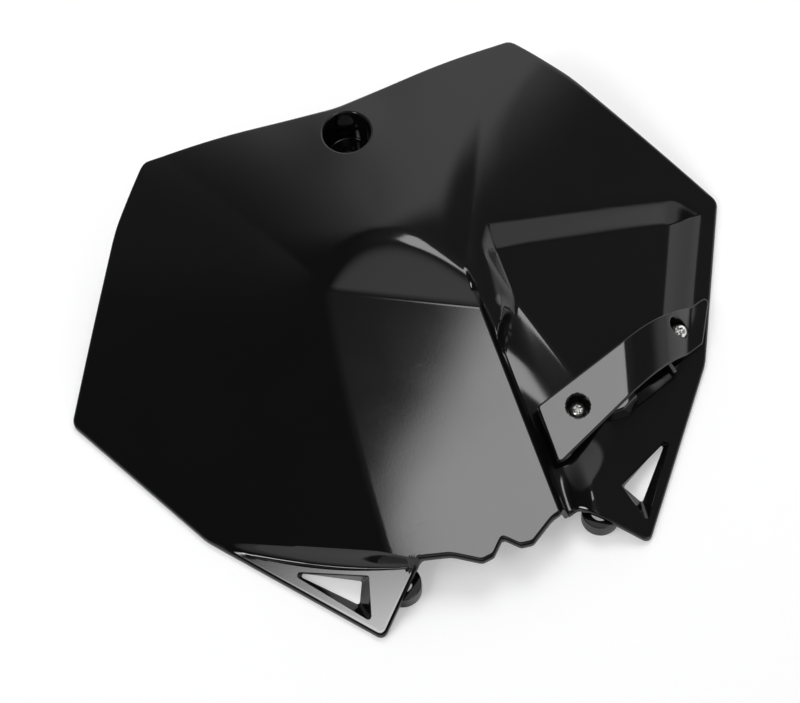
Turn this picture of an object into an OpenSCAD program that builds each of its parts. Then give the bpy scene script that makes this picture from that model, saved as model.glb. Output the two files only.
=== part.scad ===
// Front number plate of a motocross bike, lying face up as it rests on a table.
// One moulded shell, a screwed-on brake hose guide, and the two screws that hold it.
// Millimetres. X runs across the plate, +Y points to its top edge, Z = 0 is the table.
// Shapes are drawn from the point midway between the two side corners. The finished pieces
// are then moved so that the origin lies on the table, under the middle of the plate's length.

/* [Plate outline] */
// Width across the two side corners
plate_w = 285; // [270:1:300]
// Distance between the two top corners
top_w = 161; // [150:1:172]
// Distance between the two lower side corners
lower_w = 214; // [208:1:220]
// Distance between the tips of the two legs
tip_w = 111; // [104:1:116]
// Distance between the inner corners, where the legs leave the middle panel
gap_w = 66; // [62:1:68]
// Height of the top corners up the plate from the side corners
top_y = 82; // [78:1:86]
// How far the top edge dips in the middle below its corners
top_dip = 11.5; // [6:0.5:13]
// Distance of the lower side corners below the side corners
lower_y = 68; // [64:1:70]
// Distance of the leg tips below the side corners
tip_y = 131.5; // [128:0.5:135]
// Distance of the inner corners below the side corners
gap_y = 112; // [110:0.5:114]
// Depth of the two lobes of the wavy bottom edge
lobe_drop = 8.5; // [5:0.5:9]
// Radius of the outline's corners
corner_r = 4.5; // [2:0.5:6]

/* [Plate shape] */
// Thickness of the moulded sheet, measured upright
sheet_t = 2.6; // [2.2:0.1:3]
// Height of the crown
crown_h = 55.5; // [52:0.5:58]
// Rise of the sides per millimetre inward from the edge
side_slope = 0.45; // [0.43:0.01:0.47]
// Height of the middle panel's plane on the line of the side corners
panel_h = 45.7; // [44:0.1:47]
// Rise of the middle panel per millimetre up the plate
panel_slope = 0.235; // [0.22:0.005:0.24]
// Distance of the middle panel's right edge from the centre line
panel_x = 26.5; // [25:0.5:28]
// Depth of the recess on the right side, which the hose runs through
recess_d = 6; // [4:0.5:7]
// Depth of the groove between the left side and its leg
groove_d = 2.5; // [1:0.5:3]

/* [Screw well] */
// Diameter of the well's mouth
well_d = 19.4; // [16:0.2:22]
// Depth of the well below the crown
well_depth = 21; // [16:0.5:24]
// Distance of the well up the plate from the side corners
well_y = 57; // [54:0.5:60]
// Diameter of the screw hole in the well's floor
well_hole_d = 6.5; // [5:0.1:8]
// Outer diameter of the raised seat round that hole
well_seat_d = 11.5; // [11:0.1:14]

/* [Lugs and windows] */
// Outer diameter of each holding lug
lug_d = 15; // [13:0.5:15]
// Diameter of each lug's bore
lug_bore_d = 8; // [6:0.5:8]
// Distance between the axes of the two lugs
lug_spacing = 83; // [80:1:86]
// Distance of the lugs below the side corners
lug_y = 114.5; // [113:0.5:116]
// Thickness of the walls round the windows and the well
wall_t = 2; // [1.5:0.1:2.5]

/* [Hose guide] */
// Thickness of the strap
strap_t = 2.4; // [2:0.1:3]
// Step of the strap below the middle panel
strap_step = 3; // [2:0.5:4]
// Diameter of the screw hole in the strap's flat part
strap_hole_d = 9; // [8.2:0.2:10]
// Diameter of the screw hole in the strap's bent end
end_hole_d = 7.8; // [7.6:0.1:8.4]
// Diameter of the brake hose that the guide takes
hose_d = 7; // [6:0.5:7.5]

/* [Screws] */
// Diameter of the thread
screw_d = 4; // [3.5:0.1:4.2]
// Diameter of the head
screw_head_d = 7; // [6.4:0.1:7.2]
// Height of the head
screw_head_h = 2.6; // [2:0.1:3]
// Length of the screw under its head
screw_l = 7.5; // [6:0.5:8]

/* [Hidden] */
$fn = 64;
side_x = plate_w/2;
top_x = top_w/2;
lower_x = lower_w/2;
tip_x = tip_w/2;
gap_x = gap_w/2;
// The sheet's edges rest on the table, so its face starts one thickness above it
edge_h = sheet_t;
// Length of a cut that goes right through
through = 100;

// Unit vector that points inward from the straight edge between a side corner and a lower corner
side_edge = norm([side_x - lower_x, lower_y]);
side_in = [lower_y, side_x - lower_x]/side_edge;
// Unit vector that points inward from the outer edge of a leg
leg_edge = norm([lower_x - tip_x, tip_y - lower_y]);
leg_in = [tip_y - lower_y, lower_x - tip_x]/leg_edge;
// Slope of the line that parts the sides from the legs, seen from above
leg_line = (gap_y - lower_y)/(lower_x - gap_x);
// Rise of the legs inward from their outer edge
leg_slope = 0.47;

// Widths over which the crown runs into the sides, and the dome into the middle panel
crown_blend = 9;
panel_blend = 3;
// How the crown falls away across and along the plate, and the line it starts from
crown_across = 0.0007;
crown_along = 0.0025;
crown_y = 45;
crown_bend = 40;
// Extra height of the sides half way up their slope, and the length of that slope
side_bulge = 2;
side_run = 100;
// Height and spread of the swelling round the well
swell_h = 2.4;
swell_r = 12;

// Line where the band above the middle panel starts, and the band's extra slope
band_start = -16.5;
band_tilt = -0.47;
band_slope = 0.2;
// Slope and width of the wall between the middle panel and the rib beside it
rib_wall = 3;
rib_wall_w = 2;

// Upper foot of the recess and the slope of its bank
recess_y = -5;
bank_slope = 0.7;
// Foot and slope of the recess's inner wall beside the rib, then beside the middle panel
rib_foot = 40;
panel_foot = 28.5;
rib_side = 1;
panel_side = 4.2;
rib_end = [-26, -46];
// The recess shallows toward the plate's edge over this width, and blends into the dome there
recess_fade = 22;
recess_blend = 1.5;
// Crease between the two facets of the recess floor, and how the inner one dips
crease = [39.7, -27.2];
crease_n = [-0.943, -0.33];
dip_slope = 0.35;
dip_max = 7;
crease_blend = 2;
dip_blend = 3;

// Widths of the groove above the left leg, at its ends and added in its middle
groove_end = 2.5;
groove_mid = 4.5;
// Share of its length, from the lower corner inward, at which the groove starts
groove_start = 0.1;
// Width over which the recess runs out into the right leg
leg_run = 26;

// Smooth lower or upper one of two heights, and a smooth step from 0 to 1
function soft_min(a, b, k) = min(a, b) - pow(max(k - abs(a - b), 0), 2)/(4*k);
function soft_max(a, b, k) = -soft_min(-a, -b, k);
function step01(a, b, v) = let (t = min(max((v - a)/(b - a), 0), 1)) t*t*(3 - 2*t);
function mix(a, b, t) = a + (b - a)*t;

// Distance inward from the side edge, and from a leg's outer edge
function from_side(x, y) = (side_x - abs(x))*side_in[0] + y*side_in[1];
function from_leg(x, y) = (lower_x - abs(x))*leg_in[0] + (y + lower_y)*leg_in[1];

// Heights of the faces that the shell's outer surface is made of
function crown(x, y) = let (v = crown_y - y)
    crown_h - crown_across*x*x - crown_along*(v < crown_bend ? v*v : crown_bend*(2*v - crown_bend))
    + swell_h*exp(-(x*x + pow(y - well_y, 2))/(2*swell_r*swell_r));
function side(x, y) = let (d = from_side(x, y))
    edge_h + side_slope*d + side_bulge*max(0, 1 - pow(2*d/side_run - 1, 2));
function dome(x, y) = soft_min(crown(x, y), side(x, y), crown_blend);
function panel(x, y) = panel_h + panel_slope*y;
function panel_cut(x, y) = panel(x, y) + band_slope*max(0, y - band_start - band_tilt*x)
    + rib_wall*max(0, x - panel_x + rib_wall_w);
function past_crease(x, y) = (x - crease[0])*crease_n[0] + (y - crease[1])*crease_n[1];
function recess_floor(x, y) = dome(x, y)
    - mix(-recess_blend, recess_d, step01(0, recess_fade, from_side(x, y)))
    - soft_min(dip_slope*soft_max(0, past_crease(x, y), crease_blend), dip_max, dip_blend);
function recess_foot(y) = mix(rib_foot, panel_foot, step01(rib_end[0], rib_end[1], y));
function recess(x, y) = let (low = step01(rib_end[0], rib_end[1], y))
    recess_floor(x, y) + bank_slope*max(0, y - recess_y)
    + mix(rib_side, panel_side, low)*max(0, recess_foot(y) - x);
function upper_face(x, y) = let (left = soft_min(dome(x, y), panel_cut(x, y), panel_blend))
    x < panel_x - rib_wall_w ? left
        : min(left, soft_min(dome(x, y), recess(x, y), recess_blend));

// Legs: how far a point lies below the line that parts them from the sides
function leg_top(x) = -gap_y + leg_line*(min(max(abs(x), gap_x), lower_x) - gap_x);
function leg_face(x, y) = edge_h + leg_slope*from_leg(x, y);
function groove_w(x) = groove_end
    + groove_mid*sin(180*min(max((abs(x) - gap_x)/(lower_x - gap_x), 0), 1));
function leg_part(x, y) = let (q = leg_top(x) - y)
    x < 0 ? step01(gap_x - 2, gap_x, -x)*step01(0, groove_w(x), q)
        : step01(panel_foot, panel_foot + leg_run/2, x)*step01(-leg_run, 0.15*leg_run, q);
function groove(x, y) = x > -gap_x ? 0 : let (u = min(max((lower_x + x)/(lower_x - gap_x), 0), 1))
    groove_d*max(0, min(1, 3*(u - groove_start), 3 - 2.4*u))
    *sin(180*min(max((leg_top(x) - y)/groove_w(x), 0), 1));
function face(x, y) = mix(upper_face(x, y), leg_face(x, y), leg_part(x, y)) - groove(x, y);
// The back keeps the sheet's thickness beside steep walls too, by looking a little to both sides
wall_look = 1.8;
wall_ease = 1.1;
function back(x, y) = min(face(x - wall_look, y) + wall_ease, face(x, y),
    face(x + wall_look, y) + wall_ease) - sheet_t;

// Closed sheet between two surfaces, over a grid of n by m points
module sheet(grid_points, n, m) {
    top = [for (i = [0:n - 2], j = [0:m - 2]) let (a = i*m + j)
        each [[a, a + m, a + 1], [a + 1, a + m, a + m + 1]]];
    bottom = [for (f = top) [f[2] + n*m, f[1] + n*m, f[0] + n*m]];
    rim = concat([for (j = [0:m - 2]) [j, j + 1]],
        [for (i = [0:n - 2]) [(i + 1)*m - 1, (i + 2)*m - 1]],
        [for (j = [m - 2:-1:0]) [(n - 1)*m + j + 1, (n - 1)*m + j]],
        [for (i = [n - 2:-1:0]) [(i + 1)*m, i*m]]);
    skirt = [for (e = rim) each [[e[0], e[1], e[0] + n*m], [e[1], e[1] + n*m, e[0] + n*m]]];
    polyhedron(grid_points, concat(top, bottom, skirt));
}

// Points of a corner rounded with radius r, between the sides from b toward a and toward c
corner_step = 12;
function corner(a, b, c, r) = let (
    u = (a - b)/norm(a - b), v = (c - b)/norm(c - b),
    half = acos(u*v)/2, m = (u + v)/norm(u + v), o = b + m*r/sin(half),
    p = b + u*r/tan(half) - o, q = b + v*r/tan(half) - o,
    turn = (p[0]*q[1] - p[1]*q[0] > 0 ? 1 : -1)*(180 - 2*half),
    count = max(2, ceil(abs(turn)/corner_step)))
    [for (i = [0:count]) let (t = turn*i/count)
        o + [p[0]*cos(t) - p[1]*sin(t), p[0]*sin(t) + p[1]*cos(t)]];
function rounded(points, radii) = let (n = len(points))
    [for (i = [0:n - 1]) each corner(points[(i + n - 1)%n], points[i], points[(i + 1)%n], radii[i])];
function mirrored(points) = [for (i = [len(points) - 1:-1:0]) [-points[i][0], points[i][1]]];
function reversed(list) = [for (i = [len(list) - 1:-1:0]) list[i]];

// Right half of the plate's outline, from the top edge's middle round to the bottom edge's middle
half_outline = [[top_x, top_y], [100, 62], [side_x, 0], [lower_x, -lower_y], [tip_x, -tip_y],
    [gap_x, -gap_y], [21, -gap_y - 2.8], [10.5, -gap_y - lobe_drop - 0.6], [5.5, -gap_y - lobe_drop]];
half_radii = [corner_r, 60, corner_r, 8, 3, 2.5, 12, 3, 2.5];
outline = concat([[0, top_y - top_dip]], half_outline, [[0, -gap_y - 3.2]], mirrored(half_outline));
outline_radii = concat([30], half_radii, [1.5], reversed(half_radii));

// Columns and rows of the shell's grid: they crowd together where the surface bends
columns = concat([for (i = [0:11]) -148 + i*9.4], [for (i = [0:8]) -37.6 + i*7.4],
    [24.5, 26.5, 28.5, 31, 33.5, 36.8, 40], [for (i = [1:14]) 40 + i*7.7]);
rows = concat([for (i = [0:8]) 86 - i*8], [for (i = [1:12]) 22 - i*4.4],
    [for (i = [1:5]) -30.8 - i*5.8], [for (i = [1:9]) -60 - i*5.73]);
groove_rows = [0.3, 0.65, 1];
leg_rows = [-123, -131, -140, -150];
// Rows below this line turn bit by bit until they run along the line that parts off the legs
turn_y = -60;
function row_y(x, y) = y + min(max((turn_y - y)/(gap_y + turn_y), 0), 1)*(leg_top(x) + gap_y);
function shell_rows(x) = concat([for (y = rows) row_y(x, y)],
    [for (s = groove_rows) leg_top(x) - s*groove_w(x)], [for (y = leg_rows) row_y(x, y)]);

module shell() {
    xy = [for (x = columns, y = shell_rows(x)) [x, y]];
    intersection() {
        sheet(concat([for (p = xy) [p[0], p[1], face(p[0], p[1])]],
            [for (p = xy) [p[0], p[1], back(p[0], p[1])]]), len(columns), len(shell_rows(0)));
        translate([0, 0, -through/2]) linear_extrude(2*through) polygon(rounded(outline, outline_radii));
    }
}

// Solid between a lower and an upper ring of as many points, listed counterclockwise
module between(lower, upper) {
    n = len(lower);
    polyhedron(concat(lower, upper), concat(
        [for (i = [1:n - 2]) [0, i, i + 1]], [for (i = [1:n - 2]) [n, n + i + 1, n + i]],
        [for (i = [0:n - 1]) let (j = (i + 1)%n) each [[i, n + i, j], [j, n + i, n + j]]]));
}
// Round post whose top follows the inside of the sheet
module post(x, y, d, z) {
    ring = [for (i = [0:23]) [x + d/2*cos(15*i), y + d/2*sin(15*i)]];
    between([for (p = ring) [p[0], p[1], z]], [for (p = ring) [p[0], p[1], face(p[0], p[1]) - sheet_t/2]]);
}

// Screw well: floor height, seat and hole
well_floor = crown_h + swell_h - well_depth;
well_floor_t = 3;
well_seat_h = 1.2;
well_seat_lip = 1.2;
module well_cut() {
    translate([0, well_y, well_floor]) difference() {
        cylinder(d = well_d, h = through);
        translate([0, 0, -1]) cylinder(d = well_seat_d, h = 1 + well_seat_h);
    }
    translate([0, well_y, well_floor]) cylinder(d = well_seat_d - 2*well_seat_lip, h = well_seat_h + 1);
    translate([0, well_y, 0]) cylinder(d = well_hole_d, h = through);
}

// Windows of the legs: a triangle in the leg's face that narrows to a smaller one near the table
window_top = [[80.5, -93.4], [53, -108.1], [57.8, -123.4]];
window_foot = [[80, -91.8], [55.3, -105.5], [59.5, -114.5]];
window_foot_z = 0.6;
// Triangle grown outward by d
function grown(t, d) = let (
    a = norm(t[1] - t[2]), b = norm(t[2] - t[0]), c = norm(t[0] - t[1]), p = a + b + c,
    o = (a*t[0] + b*t[1] + c*t[2])/p, r = abs(cross(t[1] - t[0], t[2] - t[0]))/p)
    [for (v = t) o + (v - o)*(1 + d/r)];
function on_leg(t, drop) = [for (v = t) [v[0], v[1], leg_face(v[0], v[1]) - drop]];
function at_height(t, z) = [for (v = t) [v[0], v[1], z]];
// The window's cut goes on past its two triangles by this share
overshoot = 0.25;
module window_cut() {
    low = at_height(window_foot, window_foot_z);
    high = on_leg(window_top, 0);
    between([for (i = [0:2]) low[i] - (high[i] - low[i])*overshoot],
        [for (i = [0:2]) high[i] + (high[i] - low[i])*overshoot]);
}
module window_wall() intersection() {
    between(at_height(grown(window_foot, wall_t), window_foot_z),
        on_leg(grown(window_top, wall_t/2), sheet_t/2));
    linear_extrude(through) polygon(rounded(outline, outline_radii));
}

// Holding lugs behind the inner ends of the legs
lug_x = lug_spacing/2;
lug_top = 8.1;
lug_foot = 0.6;
module lug() difference() {
    box = [for (c = [[-1, -1], [1, -1], [1, 1], [-1, 1]]) [lug_x, -lug_y] + lug_d*c];
    intersection() {
        translate([lug_x, -lug_y, lug_foot]) cylinder(d = lug_d, h = lug_top - lug_foot);
        between(at_height(box, 0), on_leg(box, sheet_t/2));
    }
    translate([lug_x, -lug_y, -1]) cylinder(d = lug_bore_d, h = through);
}

// The guide's two screws, how deep their heads sit below the strap's face, and the holes for them
screw_at = [[47, -76.2], [100.3, -54.3]];
screw_sink = [4.2, 2.2];
head_hole_d = [strap_hole_d, end_hole_d];
// Bosses for the screws behind the sheet, and their pilot holes
boss_d = 9;
boss_z = [8, 0.6];
pilot_d = screw_d - 0.6;

module number_plate() color([0.03, 0.03, 0.035]) difference() {
    union() {
        shell();
        post(0, well_y, well_d + 2*wall_t, well_floor - well_floor_t);
        for (m = [0, 1]) mirror([m, 0, 0]) {
            lug();
            window_wall();
        }
        for (i = [0, 1]) post(screw_at[i][0], screw_at[i][1], boss_d, boss_z[i]);
    }
    well_cut();
    for (m = [0, 1]) mirror([m, 0, 0]) window_cut();
    for (p = screw_at) translate([p[0], p[1], -1]) cylinder(d = pilot_d, h = through);
}

// Hose guide: a strap that is flat like the middle panel, then bends down to the plate's edge
strap_bend = [68, -73];
strap_bend_n = [0.952, -0.307];
strap_bend_k = 0.024;
strap_blend = 1.2;
// Air between the guide and the plate, and how far the guide's bosses stand out under the strap
fit_gap = 0.3;
boss_step = 0.2;
// Least floor of the guide under a screw's head
seat_floor = 0.8;
function past_bend(x, y) =
    max(0, (x - strap_bend[0])*strap_bend_n[0] + (y - strap_bend[1])*strap_bend_n[1]);
function strap_face(x, y) = let (s = past_bend(x, y))
    soft_max(panel(x, y) - strap_step - strap_bend_k*s*s,
        face(x, y) + strap_t + fit_gap + boss_step, strap_blend);
strap_outline = [[31.8, -71], [31.5, -95], [34, -94], [67.3, -79.4], [93, -67.4],
    [108.5, -61], [120.5, -41], [76, -57.2]];
strap_radii = [1.5, 1.5, 2, 60, 60, 1.5, 1.5, 60];
strap_columns = [for (i = [0:16]) 28 + i*6];
strap_rows = [for (i = [0:11]) -37 - i*5.5];
// Where a screw's head sits on the guide: as deep as its sink, and always on a floor over the plate
function plate_under(p, r) = max([for (a = [0:45:315]) face(p[0] + r*cos(a), p[1] + r*sin(a))]);
function screw_seat(i) = let (p = screw_at[i]) [p[0], p[1],
    max(strap_face(p[0], p[1]) - screw_sink[i] - screw_head_h,
        plate_under(p, screw_head_d/2) + fit_gap + seat_floor)];
module strap_layer(upper, lower) {
    xy = [for (x = strap_columns, y = strap_rows) [x, y]];
    sheet(concat([for (p = xy) [p[0], p[1], upper(p[0], p[1])]],
        [for (p = xy) [p[0], p[1], lower(p[0], p[1])]]), len(strap_columns), len(strap_rows));
}
// The duct under the strap: its width, the middle of its mouth, its turn and its length.
// Its floor ends in a lip before the strap's edge, from which the side walls rise steeply.
duct_w = 3*hose_d;
duct_at = [80.7, -76];
duct_turn = 22.5;
duct_l = 14;
lip_h = 2.5;
lip_rise = 4;
module duct_plan(w, from, to)
    translate(duct_at) rotate(duct_turn) translate([-w/2, from]) square([w, to - from]);
function duct_inward(x, y) = (y - duct_at[1])*cos(duct_turn) - (x - duct_at[0])*sin(duct_turn);
function duct_face(x, y) = min(strap_face(x, y) - strap_t/2,
    face(x, y) + fit_gap + lip_h + lip_rise*max(0, duct_inward(x, y) + lip_h/2));
duct_room = 0.5;
duct_floor = function (x, y) min(face(x, y) + fit_gap + wall_t, strap_face(x, y) - strap_t - duct_room);
// Foot of the block that closes the strap's lower edge beside the duct
duct_block = [[58, -83], [67.2, -82.7], [69.3, -80.9], [72, -74], [61, -74]];
module hose_guide() color([0.05, 0.05, 0.055]) difference() {
    union() {
        intersection() {
            strap_layer(function (x, y) strap_face(x, y), function (x, y) strap_face(x, y) - strap_t);
            linear_extrude(through) polygon(rounded(strap_outline, strap_radii));
        }
        intersection() {
            strap_layer(function (x, y) duct_face(x, y), function (x, y) face(x, y) + fit_gap);
            linear_extrude(through) union() {
                duct_plan(duct_w + 2*wall_t, 0, duct_l);
                polygon(duct_block);
                for (i = [0, 1]) translate(screw_at[i]) circle(d = head_hole_d[i] + 2*wall_t);
            }
        }
    }
    // The duct's hollow under the strap, and its open mouth before the strap's edge
    intersection() {
        strap_layer(function (x, y) strap_face(x, y) - strap_t, duct_floor);
        linear_extrude(through) duct_plan(duct_w, -duct_l, 2*duct_l);
    }
    intersection() {
        strap_layer(function (x, y) strap_face(x, y) + strap_t, duct_floor);
        linear_extrude(through) difference() {
            duct_plan(duct_w, -duct_l, duct_l/2);
            polygon(rounded(strap_outline, strap_radii));
        }
    }
    for (i = [0, 1]) translate(screw_seat(i)) {
        cylinder(d = head_hole_d[i], h = through);
        translate([0, 0, -through/2]) cylinder(d = screw_d + fit_gap, h = through);
    }
}

// The screw's core, the taper of its head, and its cross recess
screw_core_d = screw_d - 0.7;
head_taper = 2;
cross_w = 4;
cross_t = 0.9;
cross_depth = 1.2;
module guide_screw() difference() {
    union() {
        cylinder(d1 = screw_head_d, d2 = screw_head_d - head_taper, h = screw_head_h);
        translate([0, 0, -screw_l]) cylinder(d = screw_core_d, h = screw_l);
    }
    for (a = [0, 90]) rotate(a) translate([-cross_w/2, -cross_t/2, screw_head_h - cross_depth])
        cube([cross_w, cross_t, screw_head_h]);
}
module guide_screws() color("silver") for (i = [0, 1]) translate(screw_seat(i)) guide_screw();

// Moves a piece from the side corners' line to the middle of the plate's length
module placed() translate([0, (tip_y - top_y)/2, 0]) children();

placed() number_plate();
placed() hose_guide();
placed() guide_screws();
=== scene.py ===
# %% [markdown]
# # A motocross front number plate
# The plate is one glossy black moulding: a crowned shield with a screw well at the top, two windows in
# its legs and two lugs behind them. On one side a separate hose guide is held by two small screws.
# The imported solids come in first. They fix the size and the place of everything that is made here.

# %% Load the frame
import math
import bpy
import numpy as np
from mathutils import Matrix, Vector


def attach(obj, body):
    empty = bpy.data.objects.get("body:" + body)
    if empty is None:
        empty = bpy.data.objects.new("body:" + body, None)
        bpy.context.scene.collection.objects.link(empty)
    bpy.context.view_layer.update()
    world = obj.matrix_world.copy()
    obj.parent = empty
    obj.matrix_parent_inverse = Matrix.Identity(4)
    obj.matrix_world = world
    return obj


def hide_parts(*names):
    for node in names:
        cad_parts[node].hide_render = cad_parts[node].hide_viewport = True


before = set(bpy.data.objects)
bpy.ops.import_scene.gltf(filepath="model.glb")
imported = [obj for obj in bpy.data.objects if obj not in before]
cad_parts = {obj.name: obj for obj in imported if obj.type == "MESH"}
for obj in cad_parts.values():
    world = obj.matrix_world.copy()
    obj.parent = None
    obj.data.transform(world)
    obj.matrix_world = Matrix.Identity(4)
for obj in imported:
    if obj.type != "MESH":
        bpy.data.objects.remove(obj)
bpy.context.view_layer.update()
MM = 0.001

# %% [markdown]
# The face is a landscape: one height for every place seen from above. A dome, a plane panel and a recess
# are each a short formula, and they are blended where they meet. Sculpting could give the same look, but a
# formula keeps the sheet even and gives clean reflections. All lengths in the formulas are millimetres.

# %% Blends between heights
def soft_min(a, b, k):
    return np.minimum(a, b) - np.maximum(k - abs(a - b), 0)**2/(4*k)

def soft_max(a, b, k):
    return -soft_min(-a, -b, k)

def step(a, b, v):
    t = np.clip((v - a)/(b - a), 0, 1)
    return t*t*(3 - 2*t)

def mix(a, b, t):
    return a + (b - a)*t

print("half way up a step:", float(step(0, 1, 0.5)))

# %% [markdown]
# The plate lies on its edges, so the sides start one sheet's thickness above the table and rise inward.
# The crown is a shallow parabola with a small swelling round the screw well.

# %% The dome
SHEET = 2.6
SIDE, LOWER, TIP, GAP = (142.5, 0), (107, -68), (55.5, -131.5), (33, -112)
WELL_Y = 57

def inward(a, b):
    """Unit vector that points inward from the edge a-b of the right half"""
    n = np.array([a[1] - b[1], b[0] - a[0]], float)
    return n/np.hypot(*n)*(1, -1)

def from_side(x, y):
    n = inward(SIDE, LOWER)
    return (SIDE[0] - abs(x))*n[0] + y*n[1]

def from_leg(x, y):
    n = inward(LOWER, TIP)
    return (LOWER[0] - abs(x))*n[0] + (y - LOWER[1])*n[1]

def crown(x, y):
    v = 45 - y
    fall = np.where(v < 40, v*v, 40*(2*v - 40))
    return 55.5 - 0.0007*x*x - 0.0025*fall + 2.4*np.exp(-(x*x + (y - WELL_Y)**2)/288)

def side(x, y):
    d = from_side(x, y)
    return SHEET + 0.45*d + 2*np.maximum(0, 1 - (2*d/100 - 1)**2)

def dome(x, y):
    return soft_min(crown(x, y), side(x, y), 9)

print("crown height:", float(dome(0, WELL_Y)), "side edge:", float(dome(142.5, 0)))

# %% [markdown]
# The middle panel is a plane with a band above it. On the right a rib parts it from the recess, whose
# floor is the dome set 6 mm lower, with a second facet that dips away from the rib.

# %% Panel, rib and recess
def panel(x, y):
    return 45.7 + 0.235*y

def panel_cut(x, y):
    return panel(x, y) + 0.2*np.maximum(0, y + 16.5 + 0.47*x) + 3*np.maximum(0, x - 24.5)

def recess(x, y):
    low = step(-26, -46, y)
    dip = soft_max(0, -0.943*(x - 39.7) - 0.33*(y + 27.2), 2)
    floor = dome(x, y) - mix(-1.5, 6, step(0, 22, from_side(x, y))) - soft_min(0.35*dip, 7, 3)
    return floor + 0.7*np.maximum(0, y + 5) + mix(1, 4.2, low)*np.maximum(0, mix(40, 28.5, low) - x)

def upper_face(x, y):
    left = soft_min(dome(x, y), panel_cut(x, y), 1.2)
    return np.where(x < 24.5, left, np.minimum(left, soft_min(dome(x, y), recess(x, y), 1.5)))

print("panel:", float(upper_face(0.0, -60.0)), "recess:", float(upper_face(70.0, -40.0)))

# %% [markdown]
# The legs are flat. The left one starts at a groove, the right one grows softly out of the recess.

# %% Legs, face and back
def leg_top(x):
    return -112 + 44/74*(np.clip(abs(x), 33, 107) - 33)

def leg_face(x, y):
    return SHEET + 0.47*from_leg(x, y)

def groove_w(x):
    return 2.5 + 4.5*np.sin(np.pi*np.clip((abs(x) - 33)/74, 0, 1))

def leg_part(x, y):
    q = leg_top(x) - y
    return np.where(x < 0, step(31, 33, -x)*step(0, groove_w(x), q), step(28.5, 41.5, x)*step(-26, 3.9, q))

def groove(x, y):
    u = np.clip((107 + x)/74, 0, 1)
    depth = 2.5*np.maximum(0, np.minimum(np.minimum(1, 3*u - 0.3), 3 - 2.4*u))
    return np.where(x > -33, 0, depth*np.sin(np.pi*np.clip((leg_top(x) - y)/groove_w(x), 0, 1)))

def face(x, y):
    x, y = np.asarray(x, float), np.asarray(y, float)
    return mix(upper_face(x, y), leg_face(x, y), leg_part(x, y)) - groove(x, y)

def back(x, y):
    return np.minimum(np.minimum(face(x - 1.8, y), face(x + 1.8, y)) + 1.1, face(x, y)) - SHEET

print("left leg:", float(face(-60, -110)), "right leg:", float(face(60, -110)))

# %% [markdown]
# The outline has straight runs and rounded corners. Each corner is replaced by a short arc. The plate's
# outline is then read as a lower and an upper edge, so that every column of the mesh knows where it ends.

# %% Outline
def arc(a, b, c, r, count=None):
    """Points of a corner at b, rounded with radius r"""
    a, b, c = (np.array(p, float) for p in (a, b, c))
    u, v = (a - b)/np.hypot(*(a - b)), (c - b)/np.hypot(*(c - b))
    half = math.acos(float(u @ v))/2
    o = b + (u + v)/np.hypot(*(u + v))*r/math.sin(half)
    p, q = b + u*r/math.tan(half) - o, b + v*r/math.tan(half) - o
    turn = math.copysign(math.pi - 2*half, p[0]*q[1] - p[1]*q[0])
    return [o + np.array([p[0]*math.cos(t) - p[1]*math.sin(t), p[0]*math.sin(t) + p[1]*math.cos(t)])
            for t in np.linspace(0, turn, count or max(4, int(abs(turn)/0.1) + 1))]

def rounded(points, radii, count=None):
    n = len(points)
    return np.array([p for i in range(n)
                     for p in arc(points[i - 1], points[i], points[(i + 1) % n], radii[i], count)])

half = [(80.5, 82), (100, 62), SIDE, LOWER, TIP, GAP, (21, -114.8), (10.5, -121.1), (5.5, -120.5)]
radii = [4.5, 60, 4.5, 8, 3, 2.5, 12, 3, 2.5]
plate_outline = rounded([(0, 70.5)] + half + [(0, -115.2)] + [(-x, y) for x, y in half[::-1]],
                        [30] + radii + [1.5] + radii[::-1])
print("outline points:", len(plate_outline), "width:", np.ptp(plate_outline[:, 0]))

# %% Edges of an outline
def edges(outline):
    """Two functions of x: the outline's lower and upper edge"""
    a, b = int(outline[:, 0].argmin()), int(outline[:, 0].argmax())
    ring = np.roll(outline, -a, axis=0)
    cut = (b - a) % len(ring)
    one, two = ring[:cut + 1], np.vstack([ring[cut:], ring[:1]])[::-1]
    low, high = sorted((one, two), key=lambda e: e[:, 1].mean())
    return [lambda x, e=e[np.argsort(e[:, 0], kind="stable")]: np.interp(x, e[:, 0], e[:, 1]) for e in (low, high)]

def from_outline(x, y, outline):
    """Distance of each place from the outline"""
    a, b = outline, np.roll(outline, -1, axis=0)
    best = np.full(np.shape(x), 1e9)
    for (ax, ay), (bx, by) in zip(a, b):
        dx, dy = bx - ax, by - ay
        t = np.clip(((x - ax)*dx + (y - ay)*dy)/max(dx*dx + dy*dy, 1e-12), 0, 1)
        best = np.minimum(best, np.hypot(x - ax - t*dx, y - ay - t*dy))
    return best

low_edge, high_edge = edges(plate_outline)
print("middle column runs from", float(low_edge(0)), "to", float(high_edge(0)))

# %% [markdown]
# A sheet starts as a grid. Its points are moved to their places on the face, the grid is extruded, and the
# extruded points are moved to the back. Near the outline the face drops along a quarter circle, which
# rounds the rim as the mould does. The plate's frame starts 24.75 mm from the formulas' own zero.

# %% Sheet helper
SHIFT = 24.75

def to_frame(points):
    return (np.asarray(points, float) + (0, SHIFT, 0))*MM

def active(name):
    obj = bpy.context.active_object
    obj.name = name
    return obj

def coords(obj):
    out = np.empty(len(obj.data.vertices)*3)
    obj.data.vertices.foreach_get("co", out)
    return out.reshape(-1, 3)

def place(obj, points):
    obj.data.vertices.foreach_set("co", np.asarray(points, float).ravel())
    obj.data.update()

def drop(d, r):
    d = np.minimum(d, r)
    return r - np.sqrt(np.maximum(r*r - (r - d)**2, 0))

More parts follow.
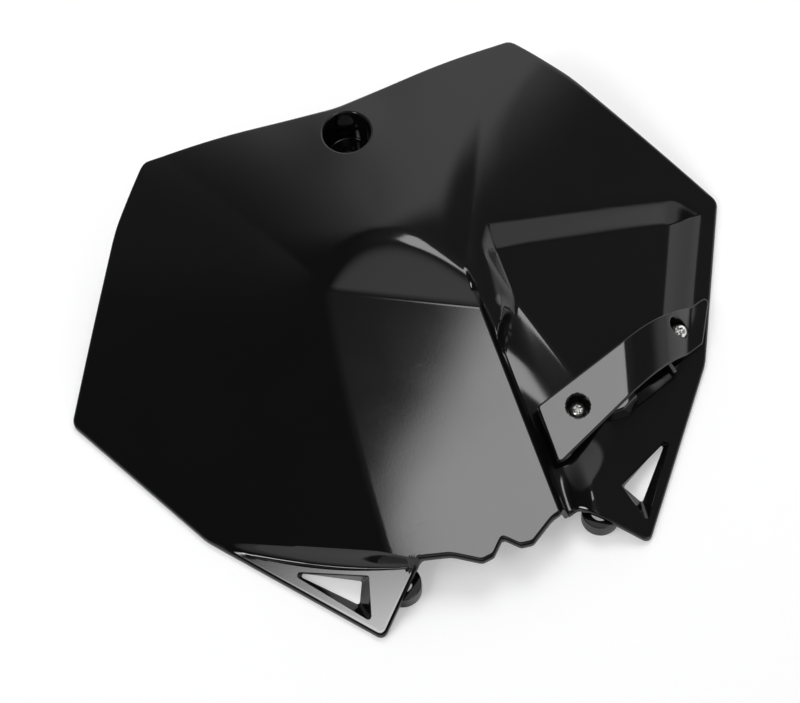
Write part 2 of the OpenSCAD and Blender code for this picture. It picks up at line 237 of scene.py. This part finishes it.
def sheet(name, xs, ys, top, bottom):
    """Closed sheet over the plan points xs, ys (2-D arrays), between two height functions"""
    rows, cols = xs.shape
    bpy.ops.mesh.primitive_grid_add(x_subdivisions=cols - 1, y_subdivisions=rows - 1, size=1)
    obj = active(name)
    x, y = xs.ravel(), ys.ravel()
    place(obj, to_frame(np.column_stack([x, y, top(x, y)])))
    bpy.ops.object.mode_set(mode="EDIT")
    bpy.ops.mesh.select_all(action="SELECT")
    bpy.ops.mesh.extrude_region_move()
    bpy.ops.object.mode_set(mode="OBJECT")
    points = coords(obj)
    new = np.array([v.select for v in obj.data.vertices])
    px, py = points[new, 0]/MM, points[new, 1]/MM - SHIFT
    points[new, 2] = bottom(px, py)*MM
    place(obj, points)
    tidy(obj)
    return obj

def tidy(obj, gap=1e-6):
    bpy.context.view_layer.objects.active = obj
    bpy.ops.object.mode_set(mode="EDIT")
    bpy.ops.mesh.select_all(action="SELECT")
    bpy.ops.mesh.remove_doubles(threshold=gap)
    bpy.ops.mesh.normals_make_consistent(inside=False)
    bpy.ops.object.mode_set(mode="OBJECT")

print("a rim of 0.8 mm drops", float(drop(0.2, 0.8)), "mm at 0.2 mm from the edge")

# %% [markdown]
# The columns stand closer where the rib and the wavy bottom edge need them, and the rows stand closer in
# the lower part, where the panel, the recess and the legs meet.

# %% The shell
def column_rows(x):
    """Places of one column from edge to edge. Some rows follow the groove and the panel's upper crease."""
    lo, hi = float(low_edge(x)), float(high_edge(x))
    ends = np.array([0, 0.25, 0.8, 1.8])*min(1, (hi - lo)/12)
    start, stop = lo + ends[-1], hi - ends[-1]
    short = min(1, (stop - start)/8)
    groove_foot = max(float(leg_top(x) - groove_w(x)), start + 2.1*short)
    groove_head = max(float(leg_top(x)), groove_foot + 1.6*short)
    crease = float(mix(-16.5 - 0.47*x, -5, step(24.5, 40, x)))
    crease = min(max(crease, mix(groove_head, stop, 0.3)), mix(groove_head, stop, 0.7))
    inner = [np.linspace(a, b, n, endpoint=False) for a, b, n in
             ((start, groove_foot, 14), (groove_foot, groove_head, 14), (groove_head, crease, 60), (crease, stop, 38))]
    return np.concatenate([lo + ends[:-1], *inner, hi - ends[::-1]])

end = 141.751
outer = np.concatenate([end - np.array([0, 0.03, 0.12, 0.3, 0.6, 1.1, 1.8, 2.8]), np.arange(end - 4.2, 61, -1.5)])
columns = np.concatenate([-outer, np.arange(-60, 60.01, 0.8), outer[::-1]])
ys = np.array([column_rows(x) for x in columns]).T
xs = np.broadcast_to(columns, ys.shape)
rim = from_outline(xs.ravel(), ys.ravel(), plate_outline)

plate = sheet("plate", xs, ys, lambda x, y: face(x, y) - drop(rim, 0.8),
              lambda x, y: back(x, y) + drop(from_outline(x, y, plate_outline), 0.3))
print("shell:", len(plate.data.polygons), "faces")

# %% [markdown]
# The other features are lofts: a disc is added, and its top is extruded from ring to ring. A ring may follow
# the face, so that the lip of the well or of a window flows into the surface round it. Each loft is a closed
# solid, which a Boolean modifier then joins to the shell or cuts out of it.

# %% Loft and Boolean helpers
def loft(name, rings):
    """Closed solid through rings of as many points, capped at both ends"""
    rings = [to_frame(r) for r in rings]
    bpy.ops.mesh.primitive_circle_add(vertices=len(rings[0]), fill_type="NGON")
    obj = active(name)
    place(obj, rings[0])
    for before, after in zip(rings, rings[1:]):
        bpy.ops.object.mode_set(mode="EDIT")
        bpy.ops.mesh.extrude_region_move()
        bpy.ops.object.mode_set(mode="OBJECT")
        points = coords(obj)
        new = np.array([v.select for v in obj.data.vertices])
        near = np.linalg.norm(points[new][:, None] - before[None], axis=2).argmin(axis=1)
        points[new] = after[near]
        place(obj, points)
    tidy(obj)
    return obj

def combine(obj, other, operation):
    """Joins another solid to a piece, or cuts it out, and removes it"""
    bpy.ops.object.select_all(action="DESELECT")
    bpy.context.view_layer.objects.active = obj
    boolean = obj.modifiers.new(operation.lower(), "BOOLEAN")
    boolean.operation, boolean.object, boolean.solver = operation, other, "MANIFOLD"
    bpy.ops.object.modifier_apply(modifier=boolean.name)
    bpy.data.objects.remove(other)

def circle(x, y, r, z, count=96):
    """Ring round a place; its height z is a number or a function of the place"""
    t = np.linspace(0, 2*np.pi, count, endpoint=False)
    px, py = x + r*np.cos(t), y + r*np.sin(t)
    return np.column_stack([px, py, z(px, py) if callable(z) else np.full(count, float(z))])

def lip(plan, surface, r, angles=(0, 15, 30, 45, 60, 72)):
    """Rings of a rounded lip of radius r, where a cut's wall meets the surface, and on above it.
    plan(d) gives the cut's plan points, grown outward by d. The last angle says how far the lip is rounded."""
    rings = []
    for angle in np.radians(angles):
        p = plan(r - r*np.cos(angle))
        rings.append(np.column_stack([p, surface(p[:, 0], p[:, 1]) - r + r*np.sin(angle)]))
    reach = 1.17*r
    p = plan(r - r*np.cos(angle) + reach*np.sin(angle))
    for rise in (r*np.sin(angle) - r + reach*np.cos(angle), 6):
        rings.append(np.column_stack([p, surface(p[:, 0], p[:, 1]) + rise]))
    return rings

print("rings of a lip:", len(lip(lambda d: circle(0, WELL_Y, 9.7 + d, 0)[:, :2], face, 1)))

# %% [markdown]
# The mounting screw sits in a deep well. Its tube is joined to the underside, and one cutter takes out the
# cavity, the ring-shaped seat on the floor and the hole, as one turned profile of radii and heights.

# %% The screw well
FLOOR = 36.9
WELL_R = 9.7
tube = loft("tube", [circle(0, WELL_Y, 11.3, FLOOR - 3), circle(0, WELL_Y, 11.7, FLOOR - 2.6),
                     circle(0, WELL_Y, 11.7, lambda x, y: face(x, y) - 1.3)])
combine(plate, tube, "UNION")

seat_profile = [(3.25, -7), (3.25, -0.3), (3.55, 0), (4.35, 0), (4.55, 0.2), (4.55, 0.95), (4.8, 1.2), (5.5, 1.2),
                (5.75, 0.95), (5.75, 0.3), (6.05, 0), (9.1, 0), (9.4, 0.08), (9.62, 0.3), (WELL_R, 0.6)]
cavity = [circle(0, WELL_Y, r, FLOOR + z) for r, z in seat_profile]
cavity += lip(lambda d: circle(0, WELL_Y, WELL_R + d, 0)[:, :2], face, 1.1)
well_cutter = loft("well_cutter", cavity)
combine(plate, well_cutter, "DIFFERENCE")
print("plate with its well:", len(plate.data.polygons), "faces")

# %% [markdown]
# Each leg has a triangular window that narrows downward like a funnel, with a thin wall round it. The walls
# stop just inside the plate's rim.

# %% The windows
WINDOW_TOP = [(80.5, -93.4), (53, -108.1), (57.8, -123.4)]
WINDOW_FOOT = [(80, -91.8), (55.3, -105.5), (59.5, -114.5)]
FOOT_Z = 0.6

def grown(corners, d, hand=1):
    """Rounded triangle grown outward by d, on the right (hand 1) or the left (hand -1)"""
    t = np.array(corners, float)
    lengths = [np.hypot(*(t[1] - t[2])), np.hypot(*(t[2] - t[0])), np.hypot(*(t[0] - t[1]))]
    middle = np.average(t, axis=0, weights=lengths)
    u, v = t[1] - t[0], t[2] - t[0]
    inner_r = abs(u[0]*v[1] - u[1]*v[0])/sum(lengths)
    t = middle + (t - middle)*(1 + d/inner_r)
    return rounded(t, [max(0.4, 0.9 + d)]*3, count=9)*(hand, 1)

def inside_rim(points):
    """Moves plan points that lie outside the leg's outer edge or its end back inside"""
    hand = np.sign(points[:, :1])
    p = points*np.hstack([hand, np.ones_like(hand)])
    for a, b in ((LOWER, TIP), (TIP, GAP)):
        n = inward(a, b)*(-1, 1)
        short = np.maximum(0, 0.4 - (p - a) @ n)
        p = p + short[:, None]*n
    return p*np.hstack([hand, np.ones_like(hand)])

def at(points, z):
    return np.column_stack([points, z(points[:, 0], points[:, 1]) if callable(z) else np.full(len(points), z)])

for hand in (1, -1):
    wall = loft("window_wall", [at(inside_rim(grown(WINDOW_FOOT, 2, hand)), FOOT_Z),
                                at(inside_rim(grown(WINDOW_TOP, 1, hand)), lambda x, y: leg_face(x, y) - 1.3)])
    combine(plate, wall, "UNION")
    foot = at(grown(WINDOW_FOOT, 0, hand), FOOT_Z)
    rim_rings = lip(lambda d: grown(WINDOW_TOP, d, hand), face, 0.7, (0, 15, 30))
    below = foot - (rim_rings[0] - foot)*0.25
    combine(plate, loft("window_cutter", [below, foot] + rim_rings), "DIFFERENCE")
print("plate with its windows:", len(plate.data.polygons), "faces")

# %% [markdown]
# Two lugs with bores stand behind the inner ends of the legs, and two bosses take the guide's screws.

# %% Lugs and bosses
LUG = (41.5, -114.5)
SCREWS = [(47, -76.2), (100.3, -54.3)]
for hand in (1, -1):
    x, y = LUG[0]*hand, LUG[1]
    profile = [(7.1, 0.6), (7.38, 0.72), (7.5, 1), (7.5, 7.6), (7.35, 7.95), (7, 8.1)]
    lug = loft("lug", [circle(x, y, r, z) for r, z in profile])
    bore = loft("bore", [circle(x, y, r, z) for r, z in [(4.6, 0), (4, 1), (4, 7.7), (4.4, 8.1), (4.4, 9)]])
    combine(lug, bore, "DIFFERENCE")
    combine(plate, lug, "UNION")
for (x, y), foot_z in zip(SCREWS, (8, 0.6)):
    boss = loft("boss", [circle(x, y, 4.2, foot_z, 48), circle(x, y, 4.5, foot_z + 0.3, 48),
                         circle(x, y, 4.5, lambda px, py: face(px, py) - 1.3, 48)])
    combine(plate, boss, "UNION")
    combine(plate, loft("pilot", [circle(x, y, 1.7, -1, 48), circle(x, y, 1.7, 40, 48)]), "DIFFERENCE")
print("finished plate:", len(plate.data.polygons), "faces")

# %% [markdown]
# The hose guide is a second moulding. Its strap is flat like the middle panel, 3 mm below it, and then bends
# down along the recess to the plate's edge. It is a sheet too, cut to its own outline.

# %% The strap
FIT_GAP = 0.3
STRAP_T = 2.4
strap_outline = rounded([(31.8, -71), (31.5, -95), (34, -94), (67.3, -79.4), (93, -67.4), (108.5, -61),
                         (120.5, -41), (76, -57.2)], [1.5, 1.5, 2, 60, 60, 1.5, 1.5, 60])

def strap_face(x, y):
    past_bend = np.maximum(0, (x - 68)*0.952 - (y + 73)*0.307)
    return soft_max(panel(x, y) - 3 - 0.024*past_bend**2, face(x, y) + STRAP_T + FIT_GAP + 0.2, 1.2)

low_strap, high_strap = edges(strap_outline)
start, end = strap_outline[:, 0].min() + 0.001, strap_outline[:, 0].max() - 0.001
near_end = np.array([0, 0.04, 0.12, 0.25, 0.45, 0.7, 1, 1.4])
strap_columns = np.concatenate([start + near_end, np.linspace(start + 2, end - 2, 125), end - near_end[::-1]])

def strap_rows(x):
    lo, hi = float(low_strap(x)), float(high_strap(x))
    ends = near_end[:-1]*min(1, (hi - lo)/5)
    return np.concatenate([lo + ends, np.linspace(lo + ends[-1], hi - ends[-1], 40)[1:-1], hi - ends[::-1]])

ys = np.array([strap_rows(x) for x in strap_columns]).T
xs = np.broadcast_to(strap_columns, ys.shape)

def strap_rim(x, y):
    return from_outline(x, y, strap_outline)

guide = sheet("guide", xs, ys, lambda x, y: strap_face(x, y) - drop(strap_rim(x, y), 0.6),
              lambda x, y: strap_face(x, y) - STRAP_T + drop(strap_rim(x, y), 0.4))
print("strap:", len(guide.data.polygons), "faces")

# %% [markdown]
# Under the strap a duct leads the hose. Its mouth shows below the strap's lower edge: a thin lip in front,
# steep walls beside it and a solid block at its left. The duct's grid is turned to run along the hose.

# %% The duct
DUCT_AT, DUCT_TURN, DUCT_W, DUCT_L, WALL_T = (80.7, -76), math.radians(22.5), 21, 14, 2

def duct_plan(u, v):
    """Plan places from distances across (u) and along (v) the duct"""
    c, s = math.cos(DUCT_TURN), math.sin(DUCT_TURN)
    return DUCT_AT[0] + u*c - v*s, DUCT_AT[1] + u*s + v*c

def duct_face(x, y):
    along = (y - DUCT_AT[1])*math.cos(DUCT_TURN) - (x - DUCT_AT[0])*math.sin(DUCT_TURN)
    lip_height = face(x, y) + FIT_GAP + 2.5 + 4*np.maximum(0, along + 1.25)
    return soft_min(strap_face(x, y) - STRAP_T/2, lip_height, 0.6)

def duct_floor(x, y):
    return np.minimum(face(x, y) + FIT_GAP + WALL_T, strap_face(x, y) - STRAP_T - 0.5)

def duct_body(name, across, along, top, bottom, rim_r=0):
    u, v = np.meshgrid(across, along)
    x, y = duct_plan(u, v)
    edge = np.minimum(np.minimum(u - across[0], across[-1] - u), np.minimum(v - along[0], along[-1] - v)).ravel()
    return sheet(name, x, y, lambda a, b: top(a, b) - drop(edge, rim_r), bottom)

def above_plate(x, y):
    return face(x, y) + FIT_GAP

half_w = DUCT_W/2 + WALL_T
rim = np.array([0, 0.05, 0.15, 0.3, 0.5])
across = np.concatenate([-half_w + rim, np.linspace(-half_w + 0.8, half_w - 0.8, 60), half_w - rim[::-1]])
along = np.concatenate([rim, np.linspace(0.75, DUCT_L, 50)])
duct = duct_body("duct", across, along, duct_face, above_plate, 0.5)

block_outline = rounded([(58, -83), (67.2, -82.7), (69.3, -80.9), (72, -74), (61, -74)], [0.8, 0.8, 0.8, 0.5, 0.5])
low_block, high_block = edges(block_outline)
block_columns = np.linspace(block_outline[:, 0].min() + 0.002, block_outline[:, 0].max() - 0.002, 60)
share = np.concatenate([[0, 0.01, 0.03, 0.06], np.linspace(0.1, 0.94, 36), [0.97, 0.99, 1]])
ys = np.array([low_block(x) + share*(high_block(x) - low_block(x)) for x in block_columns]).T
xs = np.broadcast_to(block_columns, ys.shape)
block = sheet("block", xs, ys, lambda x, y: duct_face(x, y) - drop(from_outline(x, y, block_outline), 0.6),
              above_plate)
combine(duct, block, "UNION")

hollow = duct_body("hollow", np.linspace(-DUCT_W/2, DUCT_W/2, 40), np.linspace(-8, DUCT_L + 3, 50),
                   lambda x, y: strap_face(x, y) + 3, duct_floor)
combine(duct, hollow, "DIFFERENCE")
combine(guide, duct, "UNION")
print("guide with its duct:", len(guide.data.polygons), "faces")

# %% [markdown]
# Two sleeves stand under the strap round its screw holes. Each hole is a deep well for the screw's head, with
# a rounded lip at the strap's face, and a narrow hole for the thread below the head.

# %% Screw holes of the guide
HEAD_R, HEAD_H, SCREW_L = 3.5, 2.6, 7.5
HOLE_R = (4.5, 3.9)
SINK = (4.2, 2.2)

def seat_height(i):
    x, y = SCREWS[i]
    under = circle(x, y, HEAD_R, face, 8)[:, 2].max()
    return max(float(strap_face(x, y)) - SINK[i] - HEAD_H, under + FIT_GAP + 0.8)

for i, (x, y) in enumerate(SCREWS):
    sleeve_r = HOLE_R[i] + WALL_T
    sleeve = loft("sleeve", [circle(x, y, sleeve_r, above_plate), circle(x, y, sleeve_r, lambda a, b: strap_face(a, b) - 1.2)])
    combine(guide, sleeve, "UNION")
    seat = seat_height(i)
    rings = [circle(x, y, r, seat + z) for r, z in [(2.15, -20), (2.15, 0), (HOLE_R[i] - 0.3, 0), (HOLE_R[i], 0.3)]]
    rings += lip(lambda d: circle(x, y, HOLE_R[i] + d, 0)[:, :2], strap_face, 0.5)
    combine(guide, loft("hole", rings), "DIFFERENCE")
    print("screw", i, "sits at", round(seat, 2), "mm")

# %% [markdown]
# The screws are turned profiles: a pointed core and a low rounded head with a cross recess. The thread is a
# narrow ring of four points, lofted along a helix and joined to the core.

# %% The screws
CORE_R, THREAD_R, PITCH = 1.65, 2.0, 1.4

def screw(x, y, seat):
    profile = [(0.3, -7.5), (1, -7.1), (CORE_R, -6), (CORE_R, -0.2), (1.85, 0), (3.35, 0), (HEAD_R, 0.15),
               (HEAD_R, 0.6), (3.42, 0.95), (3.2, 1.4), (2.85, 1.85), (2.35, 2.25), (1.7, 2.5), (0.9, 2.6)]
    body = loft("screw", [circle(x, y, r, seat + z) for r, z in profile])

    rings = []
    for angle in np.arange(0, 2*np.pi*4.3, np.pi/12):
        z = seat - 0.5 - PITCH*angle/(2*np.pi)
        crest = min(THREAD_R, 1.5 + angle*0.6, CORE_R + (z - seat + SCREW_L - 0.4)*0.5)
        r = np.array([1.3, 1.3, max(1.4, crest), max(1.4, crest)])
        height = z + np.array([0.4, -0.4, -0.08, 0.08])
        rings.append(np.column_stack([x + r*math.cos(angle), y + r*math.sin(angle), height]))
    combine(body, loft("thread", rings), "UNION")

    def cross(arm, width, z):
        corner = [(width, width), (width, arm), (-width, arm)]
        turned = []
        for a, b in corner:
            turned.append((a, b))
        points = []
        for quarter in range(4):
            c, s = round(math.cos(quarter*math.pi/2)), round(math.sin(quarter*math.pi/2))
            points += [(x + a*c - b*s, y + a*s + b*c) for a, b in turned]
        return np.array([(px, py, z) for px, py in points])
    recess_rings = [cross(0.9, 0.28, seat + 1), cross(1.75, 0.42, seat + 2.2), cross(2, 0.46, seat + 3)]
    combine(body, loft("cross", recess_rings), "DIFFERENCE")
    return body

screws = screw(*SCREWS[0], seat_height(0))
bpy.ops.object.select_all(action="DESELECT")
second = screw(*SCREWS[1], seat_height(1))
bpy.ops.object.select_all(action="DESELECT")
second.select_set(True)
screws.select_set(True)
bpy.context.view_layer.objects.active = screws
bpy.ops.object.join()
screws.name = "screws"
print("screws:", len(screws.data.polygons), "faces")

# %% [markdown]
# Moulded plastic shades as one smooth skin, except where two walls meet at a real edge. Smoothing by angle
# keeps those edges, and weighted normals keep the flat walls flat beside their small roundings.

# %% Smooth shading
def smooth(obj, angle):
    bpy.ops.object.select_all(action="DESELECT")
    obj.select_set(True)
    bpy.context.view_layer.objects.active = obj
    bpy.ops.object.shade_smooth_by_angle(angle=math.radians(angle))
    weighted = obj.modifiers.new("weighted", "WEIGHTED_NORMAL")
    weighted.keep_sharp = True
    weighted.weight = 100
    bpy.ops.object.modifier_apply(modifier=weighted.name)

for piece, angle in ((plate, 38), (guide, 32), (screws, 35)):
    smooth(piece, angle)
    print(piece.name, "shades smooth up to", angle, "degrees")

# %% [markdown]
# A finish is built from nodes. Each one starts from the same helper, which makes a material and hands back
# its shader and a function that adds and links a node.

# %% Material helper
def material(name, colour, roughness, **inputs):
    """A new material, its principled shader, and a function that adds a node to it"""
    mat = bpy.data.materials.new(name)
    mat.use_nodes = True
    tree = mat.node_tree
    shader = next(n for n in tree.nodes if n.type == "BSDF_PRINCIPLED")
    shader.inputs["Base Color"].default_value = (*colour, 1)
    shader.inputs["Roughness"].default_value = roughness
    for key, value in inputs.items():
        shader.inputs[key.replace("_", " ")].default_value = value

    def node(kind, links=(), **values):
        n = tree.nodes.new("ShaderNode" + kind)
        for key, value in values.items():
            if key in n.inputs:
                n.inputs[key].default_value = value
            else:
                setattr(n, key, value)
        for key, source in dict(links).items():
            tree.links.new(source, n.inputs[key])
        return n
    return mat, shader, node, tree.links.new

def ramp(node, source, low, high, out_low, out_high):
    """Maps a value from one range to another, and stops at the ends"""
    n = node("MapRange", {"Value": source})
    for key, value in zip(("From Min", "From Max", "To Min", "To Max"), (low, high, out_low, out_high)):
        n.inputs[key].default_value = value
    return n.outputs["Result"]

# %% [markdown]
# The plastic is injection moulded and polished by the mould: nearly black, with a clear gloss. Slow waves in
# it come from the cooling sheet, a fine grain from the steel. Handling leaves hazy patches and hair scratches,
# and the rims are rubbed a little duller.

# %% The black plastic
def gloss_plastic(name, colour, roughness, haze):
    mat, shader, node, link = material(name, colour, roughness, IOR=1.5)
    place_on = node("TexCoord").outputs["Object"]

    cloud = node("TexNoise", {"Vector": place_on}, Scale=14, Detail=5, Roughness=0.6)
    hazy = ramp(node, cloud.outputs["Fac"], 0.42, 0.72, 0, haze)
    grain = node("TexNoise", {"Vector": place_on}, Scale=1400, Detail=2)
    grainy = ramp(node, grain.outputs["Fac"], 0.3, 0.7, 0, 0.015)

    long_way = node("Mapping", {"Vector": place_on})
    long_way.inputs["Rotation"].default_value = (0, 0, 0.5)
    long_way.inputs["Scale"].default_value = (40, 900, 40)
    hairs = node("TexNoise", {"Vector": long_way.outputs["Vector"]}, Scale=1, Detail=3)
    scratch = ramp(node, hairs.outputs["Fac"], 0.7, 0.76, 0, 0.05)

    corner = node("NewGeometry").outputs["Pointiness"]
    rubbed = ramp(node, corner, 0.53, 0.62, 0, 0.05)
    total = node("Math", {0: hazy, 1: grainy}, operation="ADD")
    total = node("Math", {0: total.outputs[0], 1: scratch}, operation="ADD")
    total = node("Math", {0: total.outputs[0], 1: rubbed}, operation="ADD")
    rough = node("Math", {0: total.outputs[0]}, operation="ADD")
    rough.inputs[1].default_value = roughness
    link(rough.outputs[0], shader.inputs["Roughness"])

    tint = node("MixRGB", {"Fac": cloud.outputs["Fac"]})
    tint.inputs[1].default_value = (*[c*0.8 for c in colour], 1)
    tint.inputs[2].default_value = (*[c*1.3 for c in colour], 1)
    link(tint.outputs[0], shader.inputs["Base Color"])

    waves = node("TexNoise", {"Vector": place_on}, Scale=22, Detail=1)
    slow = node("Bump", {"Height": waves.outputs["Fac"]}, Strength=1, Distance=0.00005)
    fine = node("Bump", {"Height": grain.outputs["Fac"], "Normal": slow.outputs["Normal"]},
                Strength=0.5, Distance=0.000004)
    link(fine.outputs["Normal"], shader.inputs["Normal"])
    return mat

plate_gloss = gloss_plastic("plate_gloss", (0.0035, 0.0035, 0.0037), 0.055, 0.03)
guide_gloss = gloss_plastic("guide_gloss", (0.0035, 0.0035, 0.0037), 0.07, 0.03)
print("plastics:", plate_gloss.name, guide_gloss.name)

# %% [markdown]
# The screws are bright zinc-plated steel. The plating is slightly mottled, and the turned head keeps fine
# rings round its axis, which differs from screw to screw; the rings are left out, and a bump of the mottle's noise
# pits the plating.

# %% The zinc
zinc, shader, node, link = material("zinc", (0.78, 0.78, 0.76), 0.24, Metallic=1)
place_on = node("TexCoord").outputs["Object"]
mottle = node("TexNoise", {"Vector": place_on}, Scale=900, Detail=4)
link(ramp(node, mottle.outputs["Fac"], 0.3, 0.7, 0.16, 0.34), shader.inputs["Roughness"])
tint = node("MixRGB", {"Fac": mottle.outputs["Fac"]})
tint.inputs[1].default_value = (0.7, 0.7, 0.69, 1)
tint.inputs[2].default_value = (0.86, 0.86, 0.83, 1)
link(tint.outputs[0], shader.inputs["Base Color"])
pits = node("Bump", {"Height": mottle.outputs["Fac"]}, Strength=0.4, Distance=0.00002)
link(pits.outputs["Normal"], shader.inputs["Normal"])
print("metal:", zinc.name)

# %% [markdown]
# Each piece takes its finish, rides on the frame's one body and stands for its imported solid.

# %% Finish and ride
for piece, finish, node_name, slot in ((plate, plate_gloss, "number_plate", "plate_plastic"),
                                       (guide, guide_gloss, "hose_guide", "guide_plastic"),
                                       (screws, zinc, "guide_screws", "screw_metal")):
    piece.data.materials.clear()
    piece.data.materials.append(finish)
    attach(piece, "root")
    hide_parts(node_name)
    print(piece.name, "stands for", node_name)

# %% [markdown]
# The plate lies on a white table. A camera sees the table brighter than the lamps make it, so that it is
# white as in a studio, and it still takes the plate's shadow.

# %% Table
bpy.ops.mesh.primitive_plane_add(size=6)
table = active("table")
table_mat, shader, node, link = material("table_white", (0.88, 0.88, 0.88), 0.9)
glow = node("Emission", Strength=1.6)
glow.inputs["Color"].default_value = (1, 1, 1, 1)
output = next(n for n in table_mat.node_tree.nodes if n.type == "OUTPUT_MATERIAL")
share = node("Math", {0: node("LightPath").outputs["Is Camera Ray"]}, operation="MULTIPLY")
share.inputs[1].default_value = 0.2
blend = node("MixShader", {0: share.outputs[0], 1: shader.outputs[0], 2: glow.outputs[0]})
link(blend.outputs[0], output.inputs["Surface"])
table.data.materials.append(table_mat)
print("table:", tuple(round(v, 2) for v in table.dimensions))

# %% [markdown]
# Gloss shows the room more than its own colour, so the room is painted by direction: a round softbox nearly
# overhead for the middle panel, a lamp at the left for the left leg, one in front for the band, and a pale
# wall behind. Each is a patch round a direction, given by its x and y. Diffuse light comes from the lamps.

# %% Room
world = bpy.data.worlds.new("room")
bpy.context.scene.world = world
world.use_nodes = True
tree = world.node_tree
background = next(n for n in tree.nodes if n.type == "BACKGROUND")

def room_node(kind, inputs, output=0, **values):
    n = tree.nodes.new("ShaderNode" + kind)
    for key, value in values.items():
        setattr(n, key, value)
    for key, value in inputs.items():
        if hasattr(value, "is_linked"):
            tree.links.new(value, n.inputs[key])
        else:
            n.inputs[key].default_value = value
    return n.outputs[output]

def soft_step(value, start, stop, high, low=0):
    return room_node("MapRange", {"Value": value, "From Min": start, "From Max": stop, "To Min": low, "To Max": high},
                     interpolation_type="SMOOTHSTEP")

def combined(operation, a, b):
    return room_node("Math", {0: a, 1: b}, operation=operation)

direction = room_node("TexCoord", {}, output="Generated")
across, along_y, upward = (room_node("SeparateXYZ", {0: direction}, output=i) for i in range(3))
flat = room_node("CombineXYZ", {0: across, 1: along_y})

def patch(x, y, outer_r, inner_r, radiance):
    distance = room_node("VectorMath", {0: flat, 1: (x, y, 0)}, output=1, operation="DISTANCE")
    return soft_step(distance, outer_r, inner_r, radiance)

cut = combined("MULTIPLY", soft_step(along_y, -0.165, -0.14, 1), soft_step(across, 0.31, 0.285, 1))
cut = combined("MULTIPLY", cut, soft_step(combined("SUBTRACT", across, along_y), 0.15, 0.185, 1))
softbox = combined("MULTIPLY", patch(0.24, -0.1, 0.155, 0.14, 6.2), cut)
wall_foot = combined("SUBTRACT", along_y, soft_step(across, 0.5, 0.66, 0.07))
wall = combined("MULTIPLY", soft_step(wall_foot, 0.13, 0.2, 1), soft_step(across, -0.55, 0.5, 1.05, 0.08))
room = combined("ADD", softbox, wall)
for light in (patch(-0.58, -0.25, 0.14, 0.03, 16), patch(-0.02, -0.4, 0.25, 0.02, 1), patch(0.24, -0.1, 0.4, 0.15, 0.12),
              patch(0.62, -0.67, 0.3, 0.15, 0.8),
              soft_step(across, 0, 0.7, 0.12, 0.025), soft_step(upward, 0.4, 0.1, 0.5)):
    room = combined("ADD", room, light)
rays = tree.nodes.new("ShaderNodeLightPath")
lit = room_node("Mix", {0: rays.outputs["Is Diffuse Ray"], 2: room, 3: 0.45})
seen = room_node("Mix", {0: rays.outputs["Is Camera Ray"], 2: lit, 3: 1.0})
tree.links.new(seen, background.inputs["Strength"])
background.inputs["Color"].default_value = (1, 1, 1, 1)

# %% Lamps
def lamp(name, place, aim, size, radiance):
    """Square area lamp of a given radiance, aimed at a point, in metres. Gloss shows the room instead of it."""
    light = bpy.data.lights.new(name, "AREA")
    light.size = size
    light.energy = radiance*size*size*math.pi
    obj = bpy.data.objects.new(name, light)
    bpy.context.collection.objects.link(obj)
    obj.location = place
    obj.rotation_euler = (Vector(aim) - Vector(place)).to_track_quat("-Z", "Y").to_euler()
    obj.visible_glossy = False
    return obj

lamp("key_lamp", (0.25, 0.45, 0.95), (0.05, -0.05, 0), 0.5, 6)
lamp("left_lamp", (-0.75, -0.1, 0.9), (-0.05, 0, 0), 0.5, 3)

# %% [markdown]
# The camera looks down at the plate from in front and a little from the left, rolled by five degrees, with a
# long lens, as the photograph was taken.

# %% Camera
TARGET = Vector((-6.5, 8.4, 0))*MM
DISTANCE = 918*MM
AZIMUTH, ELEVATION, ROLL = 0.2753, 1.1057, 0.0878
forward = Vector((math.sin(AZIMUTH)*math.cos(ELEVATION), math.cos(AZIMUTH)*math.cos(ELEVATION),
                  -math.sin(ELEVATION)))
level = Vector((math.cos(AZIMUTH), -math.sin(AZIMUTH), 0))
above = level.cross(forward)
right = level*math.cos(ROLL) - above*math.sin(ROLL)
up = above*math.cos(ROLL) + level*math.sin(ROLL)
camera_data = bpy.data.cameras.new("camera")
camera_data.sensor_width = 36
camera_data.lens = 100.44
camera_data.clip_end = 20
camera = bpy.data.objects.new("camera", camera_data)
bpy.context.collection.objects.link(camera)
camera.matrix_world = Matrix((right, up, -forward)).transposed().to_4x4()
camera.location = TARGET - forward*DISTANCE
bpy.context.scene.camera = camera
bpy.context.scene.view_settings.view_transform = "Standard"
print("camera at", tuple(round(v, 3) for v in camera.location))
